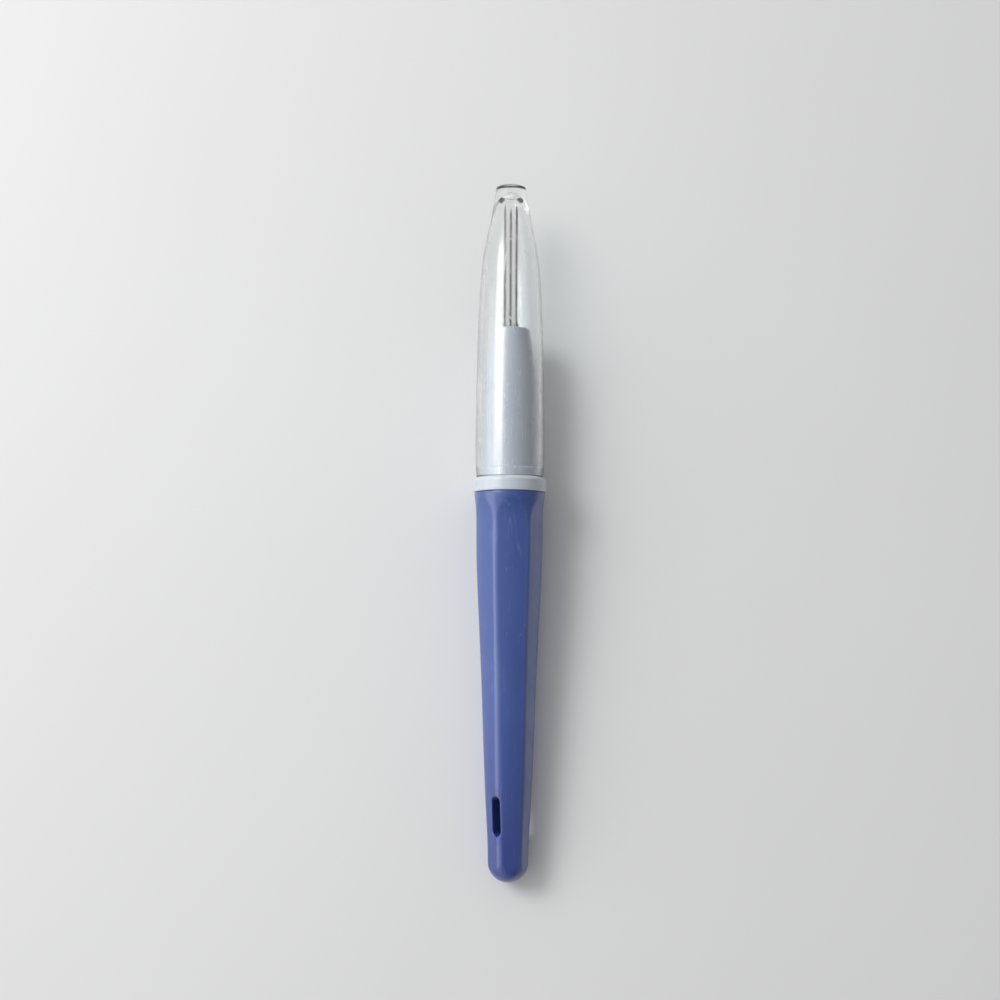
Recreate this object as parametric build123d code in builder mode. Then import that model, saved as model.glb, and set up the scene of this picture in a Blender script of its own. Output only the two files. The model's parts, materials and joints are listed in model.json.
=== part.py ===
import os
from math import atan2, cos, degrees, radians, sin, sqrt

from build123d import *

# A pen-style felting tool that lies on a table, in millimetres, +Z up, with its tip
# towards +Y. Heights on the tool are measured along its axis from the handle's top
# face, towards the tip. Angles round it are measured from its top side towards +X.

# Handle
handle_length = 92.9
handle_top_radius = 8.6
handle_grip_radius = 8.1  # over the ridges, just below the flared top
handle_end_radius = 4.85  # also the radius of the domed end
handle_edge = 0.3
flare_length = 7.0
flare_shares = [(0.4, 0.18), (0.7, 0.66)]  # way up the flare, way out to the top radius
# way from the dome to the flare, way from the end radius to the grip radius
taper_shares = [(0.17, 0.19), (0.29, 0.33), (0.47, 0.5), (0.62, 0.66), (0.77, 0.85), (0.9, 0.975)]
facet_count = 6
# distance from the axis to a flat, of the radius over the ridges: the flats fade towards the end
facet_end_share = 0.93
facet_taper_shares = [0.926, 0.918, 0.905, 0.896, 0.892, 0.89]
facet_grip_share = 0.89
scoop_top_depth = 1.6  # the scooped tops of the facets end this far below the handle's top
slot_length = 9.2
slot_width = 2.4
slot_from_end = 15.9
slot_chamfer = 0.45
slot_angle = -40.0  # beside a ridge
core_bore_radius = 3.0
core_bore_end_radius = 2.6
core_bore_length = 26.0

# Screw thread between nose and handle
thread_pitch = 2.0
thread_turns = 4
thread_root_radius = 5.3
thread_depth = 0.6
thread_crest_width = 0.5
thread_root_width = 1.1
thread_clearance = 0.15
neck_length = 1.5

# Collar ring
collar_radius = 8.9
collar_height = 3.65
collar_shoulder = 1.1
collar_edge = 0.3

# Nose
nose_length = 36.4
nose_body_radius = 6.65
nose_tip_radius = 4.7
nose_edge = 0.35
# way from the base to the top, way from the tip radius to the body radius
nose_shares = [(0.42, 0.905), (0.62, 0.8), (0.745, 0.62), (0.84, 0.4), (0.92, 0.2)]
nose_lean_share = 0.14  # how far the side leans in at the top, for each unit of height
band_height = 2.1
band_edge = 0.25
nose_bore_radius = 3.65
nose_front_wall = 6.0

# Needle insert
flange_radius = 5.2
flange_thickness = 3.8

# Felting needles
needle_angles = [56.0, 176.0, 296.0]
needle_circle_radius = 1.62
needle_length = 86.0
shank_radius = 0.9
shank_length = 34.0
middle_radius = 0.6
blade_corner_radius = 0.33
blade_length = 29.4
shank_taper = 2.5
blade_taper = 1.3
point_length = 1.8
point_radius = 0.04
bend_radius = 1.4
crank_length = 4.2
barb_depth = 0.1
barb_length = 0.55
barb_first = 3.4  # from the point to the first barb
barb_step = 2.1
barb_rows = 3
blade_edges = 3

# Cap
cap_length = 72.4
cap_mouth_radius = 8.15
cap_body_radius = 8.38
cap_wall = 1.1
cap_tip_radius = 3.75
cap_tip_edge = 0.7
cap_tip_lean_share = 0.16  # how far the side leans in at the tip, for each unit of height
cap_lip = 0.25
cap_tip_wall = 2.0
# height as a share of the cap's length, radius as a share of the body's
cap_shares = [(0.035, 1), (0.24, 0.994), (0.43, 0.97), (0.6, 0.916), (0.735, 0.832), (0.823, 0.706), (0.892, 0.583)]
# height as a share of the hollow's depth, radius as a share of the hollow's
hollow_shares = [(0.1, 1), (0.25, 0.995), (0.445, 0.965), (0.62, 0.9), (0.765, 0.79), (0.857, 0.636), (0.928, 0.485)]
hollow_shares += [(0.972, 0.33)]

# Clearances
running_fit = 0.05
seat_gap = 0.05
clamp_gap = 0.1
overrun = 0.4

# Heights along the axis
collar_bottom = seat_gap
collar_top = collar_bottom + collar_height
nose_base = collar_top + seat_gap
nose_top = nose_base + nose_length
nose_bore_top = nose_top - nose_front_wall
thread_top = -neck_length
thread_bottom = thread_top - thread_pitch * thread_turns
spigot_end = thread_bottom - thread_root_width
core_back = spigot_end - flange_thickness
crank_height = core_back + seat_gap + shank_radius
needle_point = core_back + seat_gap + needle_length
socket_floor = core_back - clamp_gap
cap_mouth = collar_top + seat_gap
cap_top = cap_mouth + cap_length
dome_height = handle_end_radius - handle_length
slot_height = slot_from_end - handle_length

# Radii that follow from others
thread_crest_radius = thread_root_radius + thread_depth
neck_radius = thread_crest_radius + running_fit
collar_bore_radius = neck_radius + running_fit
socket_radius = thread_root_radius + thread_clearance
groove_radius = thread_crest_radius + thread_clearance
mouth_radius = neck_radius + thread_clearance
hollow_radius = cap_body_radius - cap_wall
band_radius = hollow_radius - running_fit
core_barrel_radius = nose_bore_radius - running_fit
needle_bore_radius = shank_radius + running_fit
guide_radius = middle_radius + running_fit
rest_radius = facet_end_share * handle_end_radius
rest_height = dome_height - sqrt(handle_end_radius**2 - rest_radius**2)

# The tool rests on the collar's lower corner and on the handle's lowest facet, at its
# end on the dome
tilt = degrees(atan2(collar_radius - rest_radius, collar_bottom + collar_edge - rest_height))
along = (0, cos(radians(tilt)), sin(radians(tilt)))
rise = collar_edge + (collar_radius - collar_edge) * along[1] - (collar_bottom + collar_edge) * along[2]
tip_reach = cap_top * along[1] + (cap_tip_radius - cap_tip_edge) * along[2]
end_reach = handle_end_radius - dome_height * along[1]
tool = Plane(origin=(0, (end_reach - tip_reach) / 2, rise), x_dir=(1, 0, 0), z_dir=along)
half_section = Plane(origin=tool.origin, x_dir=tool.x_dir, z_dir=-tool.y_dir)
tool_axis = Axis(tool.origin, tool.z_dir)


def between(low, high, share):
    return low + (high - low) * share


def spot(radius, angle, height=0):
    """A point in the tool plane's own coordinates."""
    return (radius * sin(radians(angle)), -radius * cos(radians(angle)), height)


def upright(angle, place=(0, 0, 0)):
    """A plane through a place, with x outwards at an angle from the top and y along the tool."""
    outwards = tool.x_dir * sin(radians(angle)) - tool.y_dir * cos(radians(angle))
    return Plane(tool.from_local_coords(place), x_dir=outwards, z_dir=outwards.cross(tool.z_dir))


def thread_ridge(root, crest, root_width, crest_width, start, turns):
    """A helical ridge of trapezoid section that starts at a height and climbs by whole turns."""
    flank = (root_width - crest_width) / 2 / (crest - root)
    foot = root_width / 2 + overrun * flank
    centre = tool.from_local_coords((0, 0, start))
    with BuildPart() as ridge:
        with BuildLine() as path:
            Helix(thread_pitch, thread_pitch * turns, root, center=centre, direction=tool.z_dir)
        with BuildSketch(Plane(path.line @ 0, x_dir=(path.line @ 0) - centre, z_dir=path.line % 0)):
            with BuildLine():
                Polyline(
                    (-overrun, -foot),
                    (crest - root, -crest_width / 2),
                    (crest - root, crest_width / 2),
                    (-overrun, foot),
                    close=True,
                )
            make_face()
        sweep(path=path.line, is_frenet=True)
    return ridge.part


def build_handle():
    flare_bottom = -flare_length
    taper = [
        (between(handle_end_radius, handle_grip_radius, out), between(dome_height, flare_bottom, up))
        for up, out in taper_shares
    ]
    flare = [
        (between(handle_grip_radius, handle_top_radius, out), between(flare_bottom, 0, up))
        for up, out in flare_shares
    ]
    with BuildPart() as handle:
        with BuildSketch(half_section):
            with BuildLine():
                dome = CenterArc((0, dome_height), handle_end_radius, -90, 90)
                grip = (handle_grip_radius, flare_bottom)
                top = (handle_top_radius, -handle_edge)
                side = Spline(dome @ 1, *taper, grip, *flare, top, tangents=[(0, 1), (0, 1)])
                edge = Line(side @ 1, (handle_top_radius - handle_edge, 0))
                Polyline(edge @ 1, (0, 0), dome @ 0)
            make_face()
        revolve(axis=tool_axis)

        # Flats, each leaving the round through a scooped top
        flat = [(share * radius, height) for share, (radius, height) in zip(facet_taper_shares, taper)]
        flat_top = (facet_grip_share * handle_grip_radius, flare_bottom)
        outside = handle_top_radius + overrun
        below = -handle_length - overrun
        for number in range(facet_count):
            with BuildSketch(upright(number * 360 / facet_count)):
                with BuildLine():
                    end = Line((rest_radius, below), (rest_radius, dome_height))
                    side = Spline(end @ 1, *flat, flat_top, tangents=[(0, 1), (0, 1)])
                    scoop = TangentArc(side @ 1, (handle_top_radius, -scoop_top_depth), tangent=(0, 1))
                    Polyline(scoop @ 1, (outside, -scoop_top_depth), (outside, below), end @ 0)
                make_face()
            extrude(amount=handle_top_radius, both=True, mode=Mode.SUBTRACT)

        # Lanyard slot, chamfered at both mouths
        across = upright(slot_angle).x_dir
        slot_centre = tool.from_local_coords((0, 0, slot_height))
        with BuildSketch(Plane(slot_centre, x_dir=tool.z_dir, z_dir=across)):
            SlotOverall(slot_length, slot_width)
        extrude(amount=handle_grip_radius, both=True, mode=Mode.SUBTRACT)
        way_up = (slot_height - dome_height) / (flare_bottom - dome_height)
        crown = between(handle_end_radius, handle_grip_radius, way_up)
        lead_in = slot_chamfer + overrun
        for side in (across, -across):
            with BuildSketch(Plane(slot_centre + side * (crown + overrun), x_dir=tool.z_dir, z_dir=side)):
                SlotOverall(slot_length + 2 * lead_in, slot_width + 2 * lead_in)
            extrude(amount=-lead_in, taper=45, mode=Mode.SUBTRACT)

        # Threaded socket with the floor that clamps the cranks, and the cored inside
        core_end = socket_floor - core_bore_length
        with BuildSketch(half_section):
            with BuildLine():
                wall = Polyline(
                    (0, 0),
                    (mouth_radius + handle_edge, 0),
                    (mouth_radius, -handle_edge),
                    (mouth_radius, thread_top),
                    (socket_radius, thread_top - mouth_radius + socket_radius),
                    (socket_radius, socket_floor),
                    (core_bore_radius, socket_floor),
                    (core_bore_end_radius, core_end),
                )
                round_end = CenterArc((0, core_end), core_bore_end_radius, 0, -90)
                Line(round_end @ 1, wall @ 0)
            make_face()
        revolve(axis=tool_axis, mode=Mode.SUBTRACT)
        groove = thread_ridge(
            socket_radius,
            groove_radius,
            thread_root_width + 2 * thread_clearance,
            thread_crest_width + 2 * thread_clearance,
            thread_bottom - thread_pitch,
            thread_turns + 3,
        )
        add(groove, mode=Mode.SUBTRACT)
    return handle


def build_collar():
    with BuildPart() as collar:
        with BuildSketch(half_section):
            with BuildLine():
                bottom = Line((collar_bore_radius, collar_bottom), (collar_radius - collar_edge, collar_bottom))
                foot = TangentArc(bottom @ 1, (collar_radius, collar_bottom + collar_edge), tangent=(1, 0))
                wall = Line(foot @ 1, (collar_radius, collar_top - collar_shoulder))
                shoulder = TangentArc(wall @ 1, (collar_radius - collar_shoulder, collar_top), tangent=(0, 1))
                Polyline(shoulder @ 1, (collar_bore_radius, collar_top), bottom @ 0)
            make_face()
        revolve(axis=tool_axis)
    return collar


def build_nose():
    body = [
        (between(nose_tip_radius, nose_body_radius, out), between(nose_base, nose_top, up))
        for up, out in nose_shares
    ]
    band_top = nose_base + band_height
    with BuildPart() as nose:
        with BuildSketch(half_section):
            with BuildLine():
                foot = Polyline(
                    (nose_bore_radius, spigot_end),
                    (thread_root_radius, spigot_end),
                    (thread_root_radius, thread_top - neck_radius + thread_root_radius),
                    (neck_radius, thread_top),
                    (neck_radius, nose_base),
                    (band_radius, nose_base),
                    (band_radius, band_top - band_edge),
                    (band_radius - band_edge, band_top),
                    (nose_body_radius, band_top),
                )
                shoulder = (nose_tip_radius, nose_top - nose_edge)
                side = Spline(foot @ 1, *body, shoulder, tangents=[(0, 1), (-nose_lean_share, 1)])
                edge = Line(side @ 1, (nose_tip_radius - nose_edge, nose_top))
                Polyline(edge @ 1, (0, nose_top), (0, nose_bore_top), (nose_bore_radius, nose_bore_top), foot @ 0)
            make_face()
        revolve(axis=tool_axis)
        with BuildSketch(tool.offset(nose_top)):
            with Locations(*[spot(needle_circle_radius, angle) for angle in needle_angles]):
                Circle(guide_radius)
        extrude(amount=-nose_front_wall - overrun, mode=Mode.SUBTRACT)
        ridge = thread_ridge(
            thread_root_radius,
            thread_crest_radius,
            thread_root_width,
            thread_crest_width,
            thread_bottom,
            thread_turns,
        )
        add(ridge)
    return nose


def crank_angle(angle):
    """The cranks lie side on to the circle of needles, like a pinwheel."""
    return angle + 90


def build_core():
    pocket_depth = 2 * (seat_gap + shank_radius)
    relief = bend_radius / 2
    with BuildPart() as core:
        with BuildSketch(tool.offset(core_back)):
            Circle(flange_radius)
        extrude(amount=flange_thickness)
        with BuildSketch(tool.offset(spigot_end)):
            Circle(core_barrel_radius)
        extrude(amount=nose_bore_top - seat_gap - spigot_end)
        for angle in needle_angles:
            place = spot(needle_circle_radius, angle)
            bore = [
                (0, -overrun),
                (needle_bore_radius + relief, -overrun),
                (needle_bore_radius + relief, pocket_depth),
                (needle_bore_radius, pocket_depth + relief),
                (needle_bore_radius, nose_bore_top - core_back),
                (0, nose_bore_top - core_back),
            ]
            needle_axis = Axis(tool.from_local_coords(place), tool.z_dir)
            with BuildSketch(upright(angle, spot(needle_circle_radius, angle, core_back))):
                with BuildLine():
                    Polyline(*bore, close=True)
                make_face()
            revolve(axis=needle_axis, mode=Mode.SUBTRACT)
            with BuildSketch(tool.offset(core_back)):
                middle = Vector(place) + Vector(spot(flange_radius / 2, crank_angle(angle)))
                with Locations(middle):
                    SlotCenterToCenter(flange_radius, 2 * needle_bore_radius, rotation=crank_angle(angle) - 90)
            extrude(amount=pocket_depth, mode=Mode.SUBTRACT)
    return core


def build_needle(angle):
    place = spot(needle_circle_radius, angle)
    needle_plane = upright(crank_angle(angle), place)
    bend_top = crank_height + bend_radius
    shank_top = crank_height + shank_length
    blade_bottom = needle_point - blade_length
    point_base = needle_point - point_length
    with BuildPart() as needle:
        with BuildSketch(needle_plane):
            with BuildLine():
                Polyline(
                    (0, bend_top),
                    (shank_radius, bend_top),
                    (shank_radius, shank_top),
                    (middle_radius, shank_top + shank_taper),
                    (middle_radius, blade_bottom - blade_taper),
                    (blade_corner_radius, blade_bottom),
                    (0, blade_bottom),
                    close=True,
                )
            make_face()
        revolve(axis=Axis(needle_plane.origin, tool.z_dir))
        with BuildSketch(tool.offset(bend_top)):
            with Locations(place):
                Circle(shank_radius)
        revolve(axis=Axis(needle_plane.from_local_coords((bend_radius, bend_top)), needle_plane.z_dir), revolution_arc=90)
        crank_start = needle_plane.from_local_coords((bend_radius, crank_height))
        with BuildSketch(Plane(crank_start, x_dir=needle_plane.z_dir, z_dir=needle_plane.x_dir)):
            Circle(shank_radius)
        extrude(amount=crank_length - bend_radius)
        with BuildSketch(tool.offset(blade_bottom - overrun)):
            with Locations(place):
                RegularPolygon(blade_corner_radius, blade_edges)
        extrude(amount=point_base - blade_bottom + overrun)
        with BuildSketch(tool.offset(point_base)):
            with Locations(place):
                RegularPolygon(blade_corner_radius, blade_edges)
        with BuildSketch(tool.offset(needle_point)):
            with Locations(place):
                RegularPolygon(point_radius, blade_edges)
        loft()

        # Barbs: small notches down the edges, with the steep side towards the point
        for number in range(blade_edges * barb_rows):
            catch = needle_point - barb_first - barb_step * number / blade_edges
            notch = [
                (blade_corner_radius + overrun, catch),
                (blade_corner_radius - barb_depth, catch),
                (blade_corner_radius, catch + barb_length),
                (blade_corner_radius + overrun, catch + barb_length),
            ]
            with BuildSketch(upright(90 + number * 360 / blade_edges, place)):
                with BuildLine():
                    Polyline(*notch, close=True)
                make_face()
            extrude(amount=blade_corner_radius, both=True, mode=Mode.SUBTRACT)
    return needle


def build_cap():
    outside = [(cap_body_radius * out, cap_mouth + cap_length * up) for up, out in cap_shares]
    depth = cap_length - cap_tip_wall
    inside = [(hollow_radius * out, cap_mouth + depth * up) for up, out in hollow_shares]
    with BuildPart() as cap:
        with BuildSketch(half_section):
            with BuildLine():
                mouth = Line((hollow_radius, cap_mouth), (cap_mouth_radius - cap_lip, cap_mouth))
                lip = TangentArc(mouth @ 1, (cap_mouth_radius, cap_mouth + cap_lip), tangent=(1, 0))
                skirt = Line(lip @ 1, outside[0])
                tip_corner = (cap_tip_radius, cap_top - cap_tip_edge)
                side = Spline(skirt @ 1, *outside[1:], tip_corner, tangents=[(0, 1), (-cap_tip_lean_share, 1)])
                tip_edge = TangentArc(side @ 1, (cap_tip_radius - cap_tip_edge, cap_top), tangent=side % 1)
                wall = Line(mouth @ 0, inside[0])
                hollow = Spline(wall @ 1, *inside[1:], (0, cap_mouth + depth), tangents=[(0, 1), (-1, 0)])
                Polyline(tip_edge @ 1, (0, cap_top), hollow @ 1)
            make_face()
        revolve(axis=tool_axis)
    return cap


pieces = {
    "handle": build_handle(),
    "collar_ring": build_collar(),
    "nose_shell": build_nose(),
    "needle_core": build_core(),
    "cap": build_cap(),
}
for number, needle_angle in enumerate(needle_angles):
    pieces[f"needle_{number + 1}"] = build_needle(needle_angle)

os.makedirs("parts", exist_ok=True)
for name, piece in pieces.items():
    piece.part.label = name
    export_step(piece.part, f"parts/{name}.step")
print(f"tilt {tilt:.4f} degrees, axis foot at y {tool.origin.Y:.4f} and z {tool.origin.Z:.4f}")
print(f"screw: {thread_turns} turns of {thread_pitch} mm, needle points {needle_point - nose_top:.2f} mm out")
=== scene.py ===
import json
import math

import bmesh
import bpy
import numpy as np
from mathutils import Matrix, Vector


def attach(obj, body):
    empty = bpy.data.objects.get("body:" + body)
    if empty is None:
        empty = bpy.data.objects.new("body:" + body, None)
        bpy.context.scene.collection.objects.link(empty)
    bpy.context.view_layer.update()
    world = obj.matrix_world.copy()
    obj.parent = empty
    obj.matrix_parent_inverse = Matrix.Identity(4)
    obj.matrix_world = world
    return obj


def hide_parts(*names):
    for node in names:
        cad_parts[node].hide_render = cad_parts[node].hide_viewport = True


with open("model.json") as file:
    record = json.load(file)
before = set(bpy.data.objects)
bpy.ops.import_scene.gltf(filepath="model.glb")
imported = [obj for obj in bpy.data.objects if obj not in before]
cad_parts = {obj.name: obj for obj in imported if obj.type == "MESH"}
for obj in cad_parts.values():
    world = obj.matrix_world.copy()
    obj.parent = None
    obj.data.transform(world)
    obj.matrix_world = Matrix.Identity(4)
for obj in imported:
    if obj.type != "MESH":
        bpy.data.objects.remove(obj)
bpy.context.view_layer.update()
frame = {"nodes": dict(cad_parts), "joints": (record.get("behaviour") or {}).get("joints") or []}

# The tool's own axis comes from the frame's screw joint: heights are measured along it from
# the handle's top face towards the tip, and angles from the tool's upper side towards +X.
screwJoint = next(joint for joint in frame["joints"] if joint["name"] == "holder_turn")
foot = np.array(screwJoint["pos_m"])
along = np.array(screwJoint["axis"]) / np.linalg.norm(screwJoint["axis"])
right = np.array([1.0, 0.0, 0.0])
upward = np.cross(right, along)
lean = math.atan2(along[2], along[1])
millimetre = 0.001


def fromTool(x, n, height):
    # mm across, mm up and mm along the tool's axis, to metres in the frame
    x, n, height = np.broadcast_arrays(x, n, height)
    offset = x[..., None] * right + n[..., None] * upward + height[..., None] * along
    return foot + millimetre * offset


def onRings(radius, angle, height):
    # radius, angle from the upper side and height, as on a lathe, to metres in the frame
    return fromTool(radius * np.sin(angle), radius * np.cos(angle), height)


def smoothCurve(knots, values, at, startSlope=None, endSlope=None):
    # the clamped cubic spline: piecewise cubics whose slope and curvature carry over each knot
    knots, values, at = (np.asarray(part, float) for part in (knots, values, at))
    step = np.diff(knots)
    rise = np.diff(values) / step
    size = len(knots)
    matrix, target = np.zeros((size, size)), np.zeros(size)
    matrix[0, 0] = matrix[-1, -1] = 1.0
    target[0] = rise[0] if startSlope is None else startSlope
    target[-1] = rise[-1] if endSlope is None else endSlope
    inner = np.arange(1, size - 1)
    matrix[inner, inner - 1] = step[1:]
    matrix[inner, inner] = 2 * (step[:-1] + step[1:])
    matrix[inner, inner + 1] = step[:-1]
    target[inner] = 3 * (step[1:] * rise[:-1] + step[:-1] * rise[1:])
    slope = np.linalg.solve(matrix, target)
    span = np.clip(np.searchsorted(knots, at) - 1, 0, size - 2)
    t = (at - knots[span]) / step[span]
    return (
        (2 * t**3 - 3 * t**2 + 1) * values[span]
        + (t**3 - 2 * t**2 + t) * step[span] * slope[span]
        + (3 * t**2 - 2 * t**3) * values[span + 1]
        + (t**3 - t**2) * step[span] * slope[span + 1]
    )


def smoothLess(a, b, blend):
    # the smaller of two, with a rounded change over where they come within blend of each other
    near = np.clip(1 - np.abs(a - b) / blend, 0, None)
    return np.minimum(a, b) - near**2 * blend / 4


def smoothStep(low, high, value):
    # 0 below low, 1 above high, and an even S between
    t = np.clip((value - low) / (high - low), 0, 1)
    return t * t * (3 - 2 * t)


def cornerArc(centre, radius, start, end, count=7):
    # points round a corner of a profile: centre plus radius times cosine and sine
    angle = np.radians(np.linspace(start, end, count))
    return np.stack([centre[0] + radius * np.cos(angle), centre[1] + radius * np.sin(angle)], 1)


def straight(start, end, count):
    # points at even steps from one profile point to the next
    t = np.linspace(0, 1, count)[:, None]
    return (1 - t) * np.asarray(start, float) + t * np.asarray(end, float)


def outline(*parts):
    # a profile's parts end to end, each without its first point, where the last one stopped
    return np.concatenate([parts[0]] + [part[1:] for part in parts[1:]])


def lathe(profile, angle):
    # the angle, radius and height of a profile's points when it is carried round
    angles, radii = np.meshgrid(angle, profile[:, 0])
    return angles, radii, np.broadcast_to(profile[:, 1][:, None], angles.shape)


def gridFaces(grid):
    # quads between neighbouring points of a grid whose columns close round
    rows, columns = grid.shape[:2]
    row, column = np.meshgrid(np.arange(rows - 1), np.arange(columns), indexing="ij")
    nextColumn = (column + 1) % columns
    corners = ((row, column), (row, nextColumn), (row + 1, nextColumn), (row + 1, column))
    return np.stack([r * columns + c for r, c in corners], -1).reshape(-1, 4)


weldDistance = 2e-7  # m
sharpAngle = 38.0  # degrees between two faces
tiny = 1e-6


def solidPiece(name, grids, body, node, material, wear=None, keep=None):
    # joins the grids' points and quads, welds their seams and poles and turns faces outwards;
    # keep marks those quads of the first grid that stay
    faces = [gridFaces(grid) for grid in grids]
    if keep is not None:
        faces[0] = faces[0][keep.ravel()]
    starts = np.cumsum([0] + [grid[..., 0].size for grid in grids[:-1]])
    faces = np.concatenate([quads + start for quads, start in zip(faces, starts)])
    points = np.concatenate([grid.reshape(-1, 3) for grid in grids])
    mesh = bpy.data.meshes.new(name)
    mesh.from_pydata(points.tolist(), [], faces.tolist())
    if wear:
        attribute = mesh.attributes.new("edgeWear", "FLOAT", "POINT")
        levels = np.concatenate([part.ravel() for part in wear])
        attribute.data.foreach_set("value", levels.astype(np.float32))
    shell = bmesh.new()
    shell.from_mesh(mesh)
    bmesh.ops.remove_doubles(shell, verts=shell.verts, dist=weldDistance)
    bmesh.ops.recalc_face_normals(shell, faces=shell.faces)
    openEdges = sum(1 for edge in shell.edges if len(edge.link_faces) != 2)
    volume = shell.calc_volume(signed=True)
    if volume < 0:
        bmesh.ops.reverse_faces(shell, faces=shell.faces)
    shell.to_mesh(mesh)
    shell.free()
    mesh.shade_smooth()
    mesh.set_sharp_from_angle(angle=math.radians(sharpAngle))
    mesh.materials.append(material)
    piece = bpy.data.objects.new(name, mesh)
    bpy.context.scene.collection.objects.link(piece)
    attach(piece, body)
    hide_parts(node)
    volume = abs(volume) / millimetre**3
    print(f"{name}: {len(mesh.polygons)} faces, {volume:.0f} mm3, {openEdges} open edges")


# Shader nodes, and the groups that more than one finish uses


def feed(tree, socket, value):
    # links a socket, or writes a plain value to it
    if isinstance(value, bpy.types.NodeSocket):
        tree.links.new(value, socket)
    else:
        socket.default_value = value


def addNode(tree, kind, inputs=None, **settings):
    # a node with its settings, and its inputs either linked from sockets or set to values
    node = tree.nodes.new(kind)
    for key, value in settings.items():
        setattr(node, key, value)
    for key, value in (inputs or {}).items():
        feed(tree, node.inputs[key], value)
    return node


def mathNode(tree, operation, *values):
    inputs = dict(enumerate(values))
    return addNode(tree, "ShaderNodeMath", inputs, operation=operation).outputs[0]


def rangeNode(tree, value, fromLow, fromHigh, toLow=0.0, toHigh=1.0):
    ends = {"From Min": fromLow, "From Max": fromHigh, "To Min": toLow, "To Max": toHigh}
    return addNode(tree, "ShaderNodeMapRange", {"Value": value, **ends}).outputs["Result"]


def mixColour(tree, factor, first, second):
    # sockets 0, 6 and 7 are the factor and the two colours of a Mix node
    colours = [(*part, 1.0) if isinstance(part, tuple) else part for part in (first, second)]
    inputs = dict(zip((0, 6, 7), (factor, *colours)))
    return addNode(tree, "ShaderNodeMix", inputs, data_type="RGBA").outputs[2]


def noise(tree, vector, scale, detail, **more):
    inputs = {"Vector": vector, "Scale": scale, "Detail": detail, **more}
    return addNode(tree, "ShaderNodeTexNoise", inputs).outputs["Fac"]


origin = (0.0, 0.0, 0.0)


def mapped(tree, vector, scale=(1.0, 1.0, 1.0), turn=origin):
    # coordinates scaled and then turned about the origin
    inputs = {"Vector": vector, "Scale": scale, "Rotation": turn}
    return addNode(tree, "ShaderNodeMapping", inputs).outputs["Vector"]


def toolCoordinates(tree):
    # object coordinates turned so that Y runs along the tool's own axis
    source = addNode(tree, "ShaderNodeTexCoord")
    return mapped(tree, source.outputs["Object"], turn=(-lean, 0.0, 0.0))


def newGroup(name, inputs, outputs):
    # inputs are numbers where a number is given, and vectors elsewhere
    group = bpy.data.node_groups.new(name, "ShaderNodeTree")
    for label, value in inputs.items():
        kind = "NodeSocketFloat" if isinstance(value, float) else "NodeSocketVector"
        socket = group.interface.new_socket(name=label, in_out="INPUT", socket_type=kind)
        socket.default_value = value
    for label in outputs:
        group.interface.new_socket(name=label, in_out="OUTPUT", socket_type="NodeSocketFloat")
    return group, group.nodes.new("NodeGroupInput").outputs, group.nodes.new("NodeGroupOutput")


hairlineSetup = {"stretch": (1.0, 0.06, 1.0), "middle": 0.5, "patchScale": 210.0}


def buildScratchGroup():
    # hairlines where a stretched noise passes its middle value, thinned by a second noise
    setup = hairlineSetup
    inputs = {"Vector": origin, "Turn": origin, "Scale": 300.0, "Width": 0.01, "Cover": 0.5}
    group, given, out = newGroup("hairlineScratches", inputs, ["Scratches"])
    place = mapped(group, given["Vector"], setup["stretch"], given["Turn"])
    lines = noise(group, place, given["Scale"], 1.0)
    off = mathNode(group, "ABSOLUTE", mathNode(group, "SUBTRACT", lines, setup["middle"]))
    thin = mathNode(group, "SUBTRACT", 1.0, mathNode(group, "DIVIDE", off, given["Width"]))
    thin = mathNode(group, "MAXIMUM", thin, 0.0)
    patches = noise(group, given["Vector"], setup["patchScale"], 2.0)
    shown = mathNode(group, "GREATER_THAN", patches, given["Cover"])
    group.links.new(mathNode(group, "MULTIPLY", thin, shown), out.inputs["Scratches"])
    return group


mouldSetup = {
    "stretch": (1.0, 0.22, 1.0),
    "distortion": 0.6,
    "rubScale": 95.0,
    "rubRoughness": 0.6,
    "rubRange": (0.42, 0.68),
}


def buildMouldedGroup():
    # moulded plastic: slow flow marks along the tool, a fine orange peel and rubbed patches
    setup = mouldSetup
    inputs = {"Vector": origin, "Flow Scale": 160.0, "Peel Scale": 1500.0}
    group, given, out = newGroup("mouldedPlastic", inputs, ["Flow", "Peel", "Rubbed"])
    place = given["Vector"]
    stretched = mapped(group, place, setup["stretch"])
    flow = noise(group, stretched, given["Flow Scale"], 3.0, Distortion=setup["distortion"])
    peel = noise(group, place, given["Peel Scale"], 2.0)
    rubbed = noise(group, place, setup["rubScale"], 4.0, Roughness=setup["rubRoughness"])
    rubbed = rangeNode(group, rubbed, *setup["rubRange"])
    for label, value in (("Flow", flow), ("Peel", peel), ("Rubbed", rubbed)):
        group.links.new(value, out.inputs[label])
    return group


scratchGroup = buildScratchGroup()
mouldedGroup = buildMouldedGroup()


def newMaterial(name):
    material = bpy.data.materials.new(name)
    material.use_nodes = True
    tree = material.node_tree
    return material, tree, tree.nodes["Principled BSDF"]


def useGroup(tree, group, inputs):
    return addNode(tree, "ShaderNodeGroup", inputs, node_tree=group).outputs


# what the coloured mouldings share, unless a piece's own look says otherwise
commonLook = {
    "flowRange": (0.3, 0.7),
    "wearShare": 0.25,
    "wearRange": (0.25, 0.75, 0.35, 1.0),
    "scratchCover": 0.56,
    "scratchRoughness": 0.18,
    "scratchRelief": -0.6,
    "bump": 0.25,
    "bumpDepth": 0.00002,
    "ior": 1.5,
    "coat": 0.5,
    "coatRoughness": 0.12,
    "coatIor": 1.5,
    "glowScale": 0.0012,
}

plainSockets = {
    "IOR": "ior",
    "Coat Weight": "coat",
    "Coat Roughness": "coatRoughness",
    "Coat IOR": "coatIor",
    "Subsurface Weight": "glow",
    "Subsurface Radius": "glowRadius",
    "Subsurface Scale": "glowScale",
}


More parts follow.
